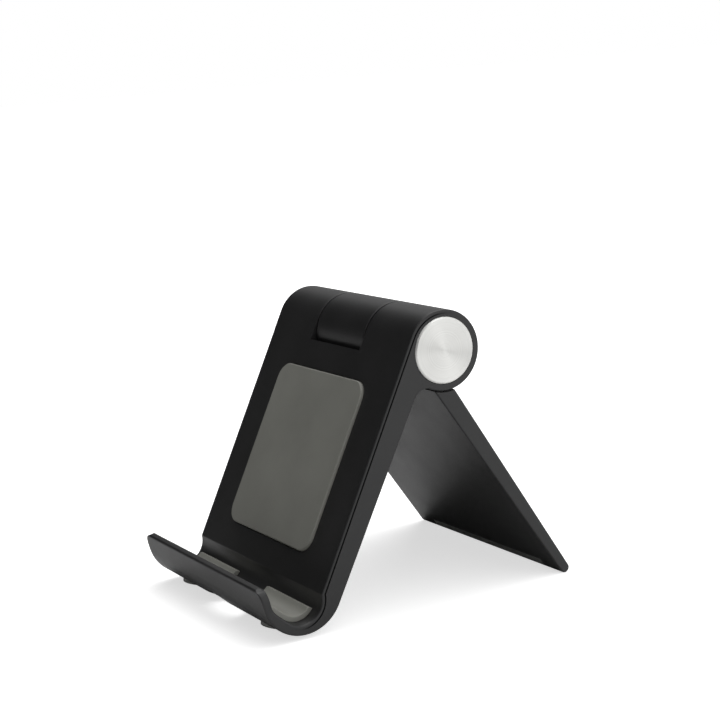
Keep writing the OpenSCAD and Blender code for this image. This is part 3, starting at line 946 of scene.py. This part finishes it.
# the rubber toe follows the end of the leg's side view
grip_from = GRIP_START + GRIP_GAP
grip_outline = joined([complex(grip_from, -LEG_INNER)], toe_round, [outer_face(grip_from)])
grip = build("toe_strip", bar(grip_outline, -GRIP_HALF, GRIP_HALF, GRIP_EDGE_R), LEG)
dress(grip, "leg", [RUBBER], ["toe_grip"])

# ---- CAD nodes that stay ----

for name, finish in {
    "stiffener_plate": SHEET,
    "cover_screws": ZINC,
    "hinge_bolt": ZINC,
    "thrust_washer": ZINC,
    "disc_springs": ZINC,
    "lock_nut": ZINC,
    "friction_washer_left": BLACK_NYLON,
    "friction_washer_right": BLACK_NYLON,
    "hub_bush_left": NYLON,
    "hub_bush_right": NYLON,
}.items():
    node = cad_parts[name]
    if not node.material_slots:
        node.data.materials.append(finish)
    for material_slot in node.material_slots:
        material_slot.material = finish

# ---- World, floor, light and camera ----

SKY_TOWARDS = (0.50, 0.80, 0.33)
SKY_FADE = (-0.35, 0.75)  # from the darkest to the brightest, as the cosine to that direction
SKY_LEAST = 0.03
FLOOR_HALF = 6.0  # in metres
FLOOR_SHADES = ((0.86, 0.86, 0.86), (0.88, 0.88, 0.88))
GLOW_RANGE = (0.10, 0.42)  # distance at which the floor begins to glow, and is in full glow, in metres
GLOW_TOWARDS = (0.53, 0.85, 0.0)
GLOW_FADE = (-0.5, 0.8)
GLOW_LEAST = 0.36
CAMERA_LIFT = 0.64  # added to the glow that the camera sees, so that the floor looks white

world = bpy.data.worlds.new("studio")
bpy.context.scene.world = world
world.use_nodes = True


def paint_world(nodes, links):
    """A sky that is bright behind the stand and to its right; the camera sees it white all round."""
    direction = nodes.new("ShaderNodeTexCoord").outputs["Generated"]
    towards = vector_step(nodes, links, "DOT_PRODUCT", direction, SKY_TOWARDS)
    strength = spread(nodes, links, towards, SKY_LEAST, 1.0, *SKY_FADE, smooth=True)
    by_camera = nodes.new("ShaderNodeLightPath").outputs["Is Camera Ray"]
    background = nodes["Background"]
    links.new(number_step(nodes, links, "MAXIMUM", strength, by_camera), background.inputs["Strength"])
    background.inputs["Color"].default_value = (1, 1, 1, 1)


paint_world(world.node_tree.nodes, world.node_tree.links)


def pale_floor():
    """Matt and pale by the stand; farther out it glows white, which is what the metal reflects."""
    made, nodes, links, shader = material("pale_floor")
    place = nodes.new("ShaderNodeTexCoord").outputs["Object"]
    away = vector_step(nodes, links, "LENGTH", place)
    glow = spread(nodes, links, away, 0.0, 1.0, *GLOW_RANGE)

    outward = nodes.new("ShaderNodeMix")
    outward.data_type = "RGBA"
    outward.inputs["B"].default_value = (0, 0, 0, 1)
    links.new(glow, outward.inputs["Factor"])
    mottle = noise(nodes, links, place, scale=3.0)
    links.new(tint(nodes, links, mottle, *FLOOR_SHADES), outward.inputs["A"])
    links.new(outward.outputs["Result"], shader.inputs["Base Color"])

    heading = vector_step(nodes, links, "NORMALIZE", place)
    towards = vector_step(nodes, links, "DOT_PRODUCT", heading, GLOW_TOWARDS)
    share = spread(nodes, links, towards, GLOW_LEAST, 1.0, *GLOW_FADE)

    for_camera = nodes.new("ShaderNodeMix")
    links.new(nodes.new("ShaderNodeLightPath").outputs["Is Camera Ray"], for_camera.inputs["Factor"])
    links.new(number_step(nodes, links, "MULTIPLY", glow, share), for_camera.inputs["A"])
    links.new(number_step(nodes, links, "ADD", glow, CAMERA_LIFT), for_camera.inputs["B"])
    links.new(for_camera.outputs["Result"], shader.inputs["Emission Strength"])
    shader.inputs["Emission Color"].default_value = (1, 1, 1, 1)
    shader.inputs["Roughness"].default_value = 0.8
    shader.inputs["Specular IOR Level"].default_value = 0.2
    return made


floor_mesh = bpy.data.meshes.new("floor")
floor_corners = [(x * FLOOR_HALF, y * FLOOR_HALF, 0) for x, y in ((-1, -1), (1, -1), (1, 1), (-1, 1))]
floor_mesh.from_pydata(floor_corners, [], [(0, 1, 2, 3)])
floor_mesh.materials.append(pale_floor())
floor = bpy.data.objects.new("floor", floor_mesh)
bpy.context.scene.collection.objects.link(floor)

top_light_data = bpy.data.lights.new("top_light", "AREA")
top_light_data.shape = "RECTANGLE"
top_light_data.size, top_light_data.size_y = 1.2, 1.2
top_light_data.energy = 6.0
top_light = bpy.data.objects.new("top_light", top_light_data)
top_light.location = (-0.25, 0.30, 1.0)
top_light.rotation_euler = (-top_light.location).to_track_quat("-Z", "Y").to_euler()
bpy.context.scene.collection.objects.link(top_light)

camera_data = bpy.data.cameras.new("camera")
camera_data.sensor_width = 36.0
camera_data.lens = 88.07
camera_data.clip_start, camera_data.clip_end = 0.01, 50.0
camera = bpy.data.objects.new("camera", camera_data)
camera_place = (0.44402, -0.23776, 0.15710)  # this and the lens were fitted to the photo
right = Vector((0.4932, 0.8667, -0.0743)).normalized()
backward = Vector((0.8616, -0.4749, 0.1792))
backward = (backward - right * right.dot(backward)).normalized()
turn = Matrix((right, backward.cross(right), backward)).transposed().to_4x4()
camera.matrix_world = Matrix.Translation(camera_place) @ turn
bpy.context.scene.collection.objects.link(camera)
bpy.context.scene.camera = camera
bpy.context.scene.view_settings.view_transform = "Standard"
